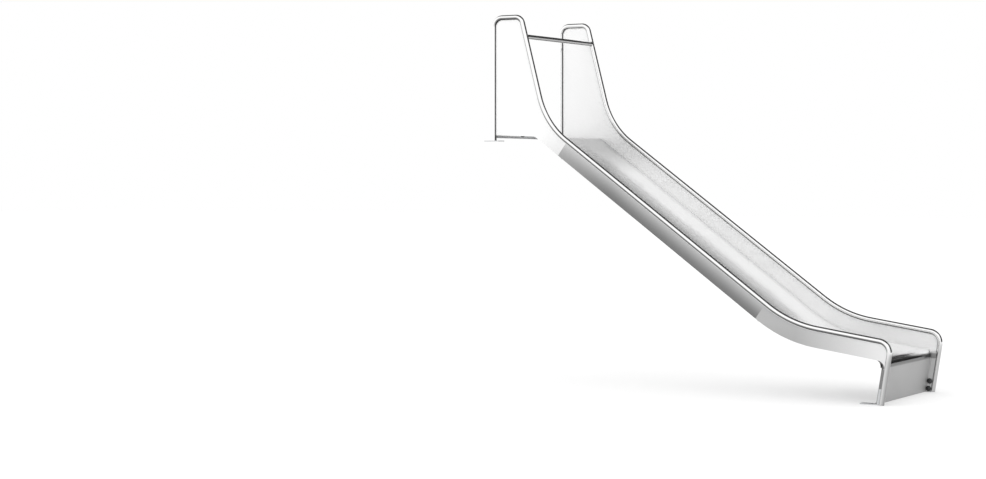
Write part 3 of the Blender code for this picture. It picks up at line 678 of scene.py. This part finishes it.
# Welds between tubes and sheets
weldPieces = {"radius": 0.0026, "depth": 0.0010, "proud": 0.0010, "sides": 8}
panelFoot, sideTip = outlines["start"][0][0], outlines["exit"][0][3]
for side, sign in sides.items():
    for module in modules:
        shape = newShape()
        corners, bends = railLine(module, p["railRadius"] + weldPieces["depth"])
        if module == "start":
            corners[0] = Vector((corners[0].x, panelFoot.y))
        if module == "exit":
            corners[-1] = corners[-2] + post * (sideTip - corners[-2]).dot(post)
        for face in (-1, 1):
            across = sign * halfSpacing + face * (p["sheet"] / 2 + weldPieces["proud"])
            addTube(shape, corners, bends, across, weldPieces["radius"], weldPieces["sides"])
        finishPiece(f"{module}Weld_{side}", shape, weldSteel)
print("welds laid")

# Cross bar, its ends coped round the raked tubes and welded on
barPiece = {
    "radius": 0.017,
    "drop": 0.159,  # below the guard's upper corner, along the raked tube
    # how far each ring of the weld stands proud of the bar, and how far it lies from the raked tube
    "weld": [(0.0026, 0.0), (0.0021, 0.0010), (0.0009, 0.0024), (0.0, 0.0040), (0.0, 0.0200)],
}


def makeCrossBar():
    centre = spotOf(guardCorner + guard * barPiece["drop"])
    shape = newShape()
    grain = shape.verts.layers.float_vector["grain"]
    turn = Matrix.Rotation(math.radians(90), 4, "X")
    ring = bmesh.ops.create_circle(
        shape, cap_ends=False, segments=modelling["ringSides"], radius=barPiece["radius"],
        matrix=Matrix.Translation(centre) @ turn,
    )["verts"]
    edges = firstEdges = shape.edges[:]
    rings = [(-1, *step) for step in barPiece["weld"]] + [(1, *step) for step in barPiece["weld"][::-1]]
    for index, (sign, swell, inset) in enumerate(rings):
        if index:
            ring, edges = extrude(shape, edges)
        for vert in ring:
            out = Vector((vert.co.x - centre.x, 0, vert.co.z - centre.z)).normalized()
            out *= barPiece["radius"] + swell
            aside = out.dot(spotOf(rightOf(guard)))
            cope = math.sqrt(max(0.0, railReach ** 2 - aside ** 2))
            vert.co = centre + out + Vector((0, sign * (halfSpacing - cope - inset), 0))
            vert[grain] = Vector((vert.co.y, out.x, out.z))
    for end in (firstEdges, edges):
        bmesh.ops.edgeloop_fill(shape, edges=end)
    bmesh.ops.recalc_face_normals(shape, faces=shape.faces)
    finishPiece("crossBar", shape, railSteel, ["cross_bar"])


makeCrossBar()
print("cross bar coped")

# End plate
platePiece = {
    "flangeDepth": 0.040,
    "bend": 0.006,
    "bendSteps": 8,
    "reveal": 0.002,  # where the flanges fold out to the sides, below the bed's surface
    "rollSteps": 12,
    "foldSteps": 14,
}


def flangeRows():
    # back and front points of a flange above the plate: up beside the roll, then out over to the side sheet
    down, centre = rightOf(runout), rollEnd + rightOf(post) * p["rollRadius"]
    clear = p["rollRadius"] + gap
    fold = bedHalfWidth - flangeInner
    lean = math.cos(math.radians(p["postLean"]))
    rows = []

    def addRow(depth, across, turn):
        under, outer = depth + p["sheet"] * math.sin(turn), across + p["sheet"] * math.cos(turn)
        along = math.sqrt(clear ** 2 - (p["rollRadius"] - under) ** 2)
        back = centre + down * (depth - p["rollRadius"]) + runout * along
        besidePost = math.sqrt(max(0, railReach ** 2 - (halfSpacing - outer) ** 2))
        reach = min(platePiece["flangeDepth"], (p["plateSetback"] - besidePost) / lean)
        front = crossing(plateFoot + Vector((reach, 0)), post, bedEnd + down * depth, runout)
        rows.append([spotOf(point, across) for point in (back, front)])

    foldStarts = math.acos((p["rollRadius"] - platePiece["reveal"] - fold) / clear)
    for step in range(1, platePiece["rollSteps"] + 1):
        angle = math.pi / 2 + (foldStarts - math.pi / 2) * step / platePiece["rollSteps"]
        addRow(p["rollRadius"] - clear * math.cos(angle), flangeInner, 0)
    for step in range(1, platePiece["foldSteps"] + 1):
        angle = math.pi / 2 * step / platePiece["foldSteps"]
        depth = platePiece["reveal"] + fold * (1 - math.sin(angle))
        addRow(depth, flangeInner + fold * (1 - math.cos(angle)), angle)
    return rows


def raiseStrip(shape, rows):
    edges = [shape.edges.new([shape.verts.new(point) for point in rows[0]])]
    for row in rows[1:]:
        verts, edges = extrude(shape, edges)
        for vert, point in zip(sorted(verts, key=lambda vert: vert.co.x), row):
            vert.co = point


def makeEndPlate():
    bend, top = platePiece["bend"], rollEnd - Vector((0, gap))
    bendEnd = plateFoot.x + bend
    straight, rim = bendEnd + modelling["support"], plateFoot.x + platePiece["flangeDepth"]
    inset = flangeInner - bend - modelling["support"]
    shape = newShape()
    # the plan is drawn at the foot: a flange's rim, its bend, the long front, the other bend and rim
    tip = shape.verts.new((rim, flangeInner, 0))
    for x in (straight, bendEnd):
        tip = nextPoint(shape, tip, (x, flangeInner, 0))
    front = [(plateFoot.x, y) for y in (inset, -inset, bend - flangeInner)]
    flange = [(x, -flangeInner) for x in (straight, rim)]
    for sign, stops in ((1, front), (-1, flange)):
        centre = Vector((bendEnd, sign * (flangeInner - bend), 0))
        step = turnAbout(centre, math.pi / 2 / platePiece["bendSteps"], "Z")
        for _ in range(platePiece["bendSteps"]):
            tip = nextPoint(shape, tip)
            bmesh.ops.transform(shape, verts=[tip], matrix=step)
        for x, y in stops:
            tip = nextPoint(shape, tip, (x, y, 0))
    edges = shape.edges[:]
    raised, _ = extrude(shape, edges)
    bmesh.ops.translate(shape, vec=(top.x - plateFoot.x, 0, top.y), verts=raised)
    lip, _ = extrude(shape, [max(edges, key=lambda edge: edge.calc_length())])
    bmesh.ops.translate(shape, vec=(-p["sillDepth"], 0, 0), verts=lip)
    plateTop = [Vector((top.x + depth, flangeInner, top.y)) for depth in (bend, platePiece["flangeDepth"])]
    rows = [plateTop] + flangeRows()
    for sign in sides.values():
        raiseStrip(shape, [[point * Vector((1, sign, 1)) for point in row] for row in rows])
    bmesh.ops.remove_doubles(shape, verts=shape.verts, dist=modelling["merge"])
    pointsOutwards(shape, Vector((1, 0, 0)))
    bmesh.ops.solidify(shape, geom=shape.faces[:], thickness=p["sheet"])
    finishPiece("endPlate", shape, plateShadedSteel, ["end_plate"])


makeEndPlate()
print("end plate folded")

# Caps over the plate's bolts
capPiece = {
    "heights": (0.025, 0.082),
    "boltOffset": 0.021,  # in front of the plate
    "wall": 0.0025,
    "height": 0.016,
    "radius": 0.0203,
    "shoulder": 0.0046,
    # the foot's section, as radius and height
    "foot": [
        (0.0170, 0.0), (0.0186, 0.0006), (0.0194, 0.0018),
        (0.0195, 0.0032), (0.0188, 0.0036), (0.0188, 0.0040),
    ],
    "domeSteps": 14,
    "turns": 48,
    "merge": 1e-5,
}


def plateBoltSpots():
    # each plate bolt's level and its place in the side plane
    for level, height in zip(("lower", "upper"), capPiece["heights"]):
        spot = plateFoot - post * (height / -post.y)
        yield level, spot + Vector((capPiece["boltOffset"] / math.cos(math.radians(p["postLean"])), 0))


def acrossSlide(point, across, sign):
    # turns a piece's Z axis to the slide's middle
    return Matrix.Translation(spotOf(point, across)) @ Matrix.Rotation(math.radians(90 * sign), 4, "X")


def makeCap(name, matrix, node):
    rise = capPiece["height"] - capPiece["shoulder"]
    dome = []
    for step in range(capPiece["domeSteps"] + 1):
        angle = math.pi / 2 * step / capPiece["domeSteps"]
        dome.append((capPiece["radius"] * math.cos(angle), capPiece["shoulder"] + rise * math.sin(angle)))
    wall = capPiece["wall"]
    hollow = [(r - wall, max(0.0, z - wall)) for r, z in dome[::-1] if r > wall]
    section = [(0.0, capPiece["height"] - wall)] + hollow + [(capPiece["foot"][0][0] - wall, 0.0)]
    section += capPiece["foot"] + dome[:-1] + [(0.0, capPiece["height"])]
    shape = newShape()
    tip = shape.verts.new((section[0][0], 0, section[0][1]))
    for r, z in section[1:]:
        tip = nextPoint(shape, tip, (r, 0, z))
    bmesh.ops.spin(
        shape, geom=shape.verts[:] + shape.edges[:], axis=(0, 0, 1), cent=(0, 0, 0), angle=2 * math.pi,
        steps=capPiece["turns"], use_merge=True,
    )
    bmesh.ops.remove_doubles(shape, verts=shape.verts, dist=capPiece["merge"])
    bmesh.ops.recalc_face_normals(shape, faces=shape.faces)
    bmesh.ops.transform(shape, matrix=matrix, verts=shape.verts)
    finishPiece(name, shape, capPlastic, [node])


for side, sign in sides.items():
    for level, spot in plateBoltSpots():
        where = acrossSlide(spot, sign * (flangeInner - gap), sign)
        makeCap(f"boltCap_{level}_{side}", where, f"bolt_cap_{level}_{side}")
print("caps turned")

# Bolts and nuts with chamfered corners
boltPiece = {
    "head": 0.64,  # this and the next three are in thread diameters
    "nut": 0.8,
    "flats": 1.6,
    "chamfer": 0.09,
    "chamferSegments": 2,
    "headSides": 6,
    "shankSides": 24,
    "plateThread": 0.008,
    "jointThread": 0.010,
    "jointSpacing": 0.360,
    "jointBar": 0.004,  # thickness
    "jointBarDepth": 0.030,
    "strap": 0.005,  # thickness
}


def addPrism(shape, sideCount, radius, low, high, chamfer, matrix):
    # a prism along the matrix's Z axis, its end corners bevelled
    middle = Matrix.Translation((0, 0, (low + high) / 2))
    made = set(bmesh.ops.create_cone(
        shape, cap_ends=True, segments=sideCount, radius1=radius, radius2=radius, depth=high - low,
        matrix=matrix @ middle,
    )["verts"])
    rims = [edge for edge in shape.edges if made.issuperset(edge.verts)
            and any(len(face.verts) == sideCount for face in edge.link_faces)]
    bmesh.ops.bevel(
        shape, geom=rims, affect="EDGES", offset=chamfer, segments=boltPiece["chamferSegments"],
        profile=0.5, material=-1,
    )


def addHexagon(shape, thread, low, high, matrix):
    sideCount = boltPiece["headSides"]
    radius = boltPiece["flats"] * thread / math.cos(math.pi / sideCount) / 2
    addPrism(shape, sideCount, radius, low, high, boltPiece["chamfer"] * thread, matrix)


def makeBolt(name, node, thread, grip, matrix):
    shape = newShape()
    chamfer = boltPiece["chamfer"] * thread
    addHexagon(shape, thread, -boltPiece["head"] * thread, 0.0, matrix)
    addPrism(shape, boltPiece["shankSides"], thread / 2, -chamfer, grip + thread, chamfer, matrix)
    finishPiece(name, shape, fittingSteel, [node])


def makeNut(name, node, thread, matrix):
    shape = newShape()
    addHexagon(shape, thread, 0.0, boltPiece["nut"] * thread, matrix)
    finishPiece(name, shape, fittingSteel, [node])


barDepth = p["bedDepth"] + p["sheet"] + gap + boltPiece["jointBarDepth"] / 2
barFace = gap / 2 + boltPiece["jointBar"] + gap  # half the seam, a bar, and the room under a bolt's head
downSlope = Matrix.Rotation(math.radians(90 + p["slopeFall"]), 4, "Y")
for level, seam in (("upper", upperSeam), ("lower", lowerSeam)):
    for index in (1, 2, 3):
        across = (index - 2) * boltPiece["jointSpacing"]
        headAt = Matrix.Translation(spotOf(atSeam(seam, barDepth, -barFace), across)) @ downSlope
        nutAt = Matrix.Translation(spotOf(atSeam(seam, barDepth, barFace), across)) @ downSlope
        makeBolt(f"jointBolt_{level}_{index}", f"{level}_joint_bolt_{index}", boltPiece["jointThread"],
                 2 * barFace, headAt)
        makeNut(f"jointNut_{level}_{index}", f"{level}_joint_nut_{index}", boltPiece["jointThread"], nutAt)

strapOuter = halfSpacing - p["railRadius"] + boltPiece["strap"]
for side, sign in sides.items():
    for level, spot in plateBoltSpots():
        makeBolt(f"plateBolt_{level}_{side}", f"plate_bolt_{level}_{side}", boltPiece["plateThread"],
                 strapOuter - flangeInner + 2 * gap, acrossSlide(spot, sign * (strapOuter + gap), sign))
print("bolts and nuts made")

# Stitch welds that hold the bars and channels under the bed
stitchPiece = {
    "radius": 0.0022,  # less than the sheet's thickness
    "length": 0.034,
    "segments": (12, 10),  # around and along
    "count": 6,
    "span": 0.78,
    "channelWidth": 0.040,
    "slopeShares": (1 / 3, 2 / 3),  # the channels' places along the straight bed
    "endShare": 0.5,  # and along the start bed and the run-out
}


def addStitches(shape, point):
    grain = shape.verts.layers.float_vector["grain"]
    thick = stitchPiece["radius"]
    stretch = Matrix.Diagonal((thick, stitchPiece["length"] / 2, thick, 1))
    around, along = stitchPiece["segments"]
    for index in range(stitchPiece["count"]):
        across = stitchPiece["span"] * (index / (stitchPiece["count"] - 1) - 0.5)
        verts = bmesh.ops.create_uvsphere(
            shape, u_segments=around, v_segments=along, radius=1.0,
            matrix=Matrix.Translation(spotOf(point, across)) @ stretch,
        )["verts"]
        for vert in verts:
            vert[grain] = Vector((vert.co.y, vert.co.x, vert.co.z))


def bedUnder(point, direction, along):
    return point + rightOf(direction) * (p["sheet"] + gap) + direction * along


stitches = newShape()
for seam in (upperSeam, lowerSeam):
    for way in (-1, 1):
        addStitches(stitches, bedUnder(atSeam(seam, p["bedDepth"], 0), slope, way * barFace))
bedTop, bedLow = atSeam(upperSeam, p["bedDepth"], 0), atSeam(lowerSeam, p["bedDepth"], 0)
runoutStart = bedDip + runout * tangentLength(brow, bedDip, bedEnd, bedBends[2])
channels = [(bedTop.lerp(bedLow, share), slope) for share in stitchPiece["slopeShares"]]
for first, last, direction in ((bedStart, brow, start), (runoutStart, bedEnd, runout)):
    channels.append((first.lerp(last, stitchPiece["endShare"]), direction))
for point, direction in channels:
    for way in (-1, 1):
        addStitches(stitches, bedUnder(point, direction, way * stitchPiece["channelWidth"] / 2))
finishPiece("stitchWelds", stitches, weldSteel)
print("stitch welds laid")

# Nodes that keep their solid
nodeMaterials = {
    "rail_tube": railSteel, "bed_sheet": bedSteel, "side_sheet": plateShadedSteel, "fittings": fittingSteel,
    "bolt_cap": capPlastic,
}
for part in frame["record"]["subparts"]:
    node = frame["nodes"][part["node"]]
    for materialSlot in node.material_slots:
        materialSlot.material = nodeMaterials[part["material_slot"]]
print("nodes painted")

# Studio
studio = {
    "camera": (5.191, -14.402, 1.617),
    "turn": 30.96,
    "lens": 75.49,
    "sensor": 36,
    "shift": (0.00135, -0.0651),
    "farthest": 200,  # that the camera sees
    "softLight": (0.80, 1.46),  # behind and in front of the slide
    "shine": 1.10,
    "darkShine": 0.05,
    # what polished steel reflects dark: a direction, and the cosines where the dark begins and is full
    "darkPatches": [
        ((0.0, 0.42, 0.907), (0.55, 0.70)),  # the ceiling
        ((-0.2, 0.9, 0.35), (0.72, 0.86)),  # the back of the studio
        ((0.82, 0.57, 0.1), (0.52, 0.70)),  # beyond the exit
    ],
    "floorSize": 60.0,
    "floorDrop": 0.001,  # under the slide's feet
    "floorFinish": {"color": (0.7, 0.7, 0.7), "metallic": 0.0, "roughness": 0.9},
    "floorWhite": 0.30,  # glow that only the camera and reflections see
}


def makeCamera():
    data = bpy.data.cameras.new("camera")
    data.sensor_width = studio["sensor"]
    data.lens = studio["lens"]
    data.shift_x, data.shift_y = studio["shift"]
    data.clip_end = studio["farthest"]
    camera = bpy.data.objects.new("camera", data)
    camera.location = studio["camera"]
    camera.rotation_euler = (math.radians(90), 0, math.radians(studio["turn"]))
    scene.collection.objects.link(camera)
    scene.camera = camera


def makeWorld():
    # white to the camera, bright with a dark side in reflections, and a soft level for the rest
    world = bpy.data.worlds.new("studio")
    world.use_nodes = True
    world.cycles.sampling_method = "NONE"
    scene.world = world
    nodes, links = world.node_tree.nodes, world.node_tree.links
    nodes.clear()
    turn = math.radians(studio["turn"])
    place = nodes.new("ShaderNodeTexCoord").outputs["Generated"]
    facing = dotNode(nodes, links, place, (math.sin(turn), -math.cos(turn), 0.0))
    light = rangeNode(nodes, links, facing, -1.0, 1.0, *studio["softLight"])
    dark = 0.0
    for middle, edges in studio["darkPatches"]:
        toPatch = dotNode(nodes, links, place, Vector(middle).normalized())
        patch = rangeNode(nodes, links, toPatch, *edges, 0.0, 1.0)
        dark = mathNode(nodes, links, "MAXIMUM", dark, patch)
    glow = rangeNode(nodes, links, dark, 0.0, 1.0, studio["shine"], studio["darkShine"])
    rays = nodes.new("ShaderNodeLightPath").outputs
    shine = mixNode(nodes, links, rays["Is Glossy Ray"], light, glow)
    seen = mixNode(nodes, links, rays["Is Camera Ray"], shine, 1.0)
    background = nodes.new("ShaderNodeBackground")
    background.inputs["Color"].default_value = (1, 1, 1, 1)
    links.new(seen, background.inputs["Strength"])
    result = nodes.new("ShaderNodeOutputWorld")
    links.new(background.outputs["Background"], result.inputs["Surface"])


def makeFloor():
    shape = bmesh.new()
    bmesh.ops.create_grid(shape, x_segments=1, y_segments=1, size=studio["floorSize"])
    mesh = bpy.data.meshes.new("floor")
    shape.to_mesh(mesh)
    shape.free()
    floor = bpy.data.objects.new("floor", mesh)
    floor.location.z = -studio["floorDrop"]
    scene.collection.objects.link(floor)
    material, nodes, links, shader = newMaterial("floor_white", studio["floorFinish"])
    shader.inputs["Specular IOR Level"].default_value = 0.0
    rays = nodes.new("ShaderNodeLightPath").outputs
    either = mathNode(nodes, links, "MAXIMUM", rays["Is Camera Ray"], rays["Is Glossy Ray"])
    shader.inputs["Emission Color"].default_value = (1, 1, 1, 1)
    glow = timesNode(nodes, links, either, studio["floorWhite"])
    links.new(glow, shader.inputs["Emission Strength"])
    floor.data.materials.append(material)


makeCamera()
makeWorld()
makeFloor()
scene.view_settings.view_transform = "Standard"
print("studio set")
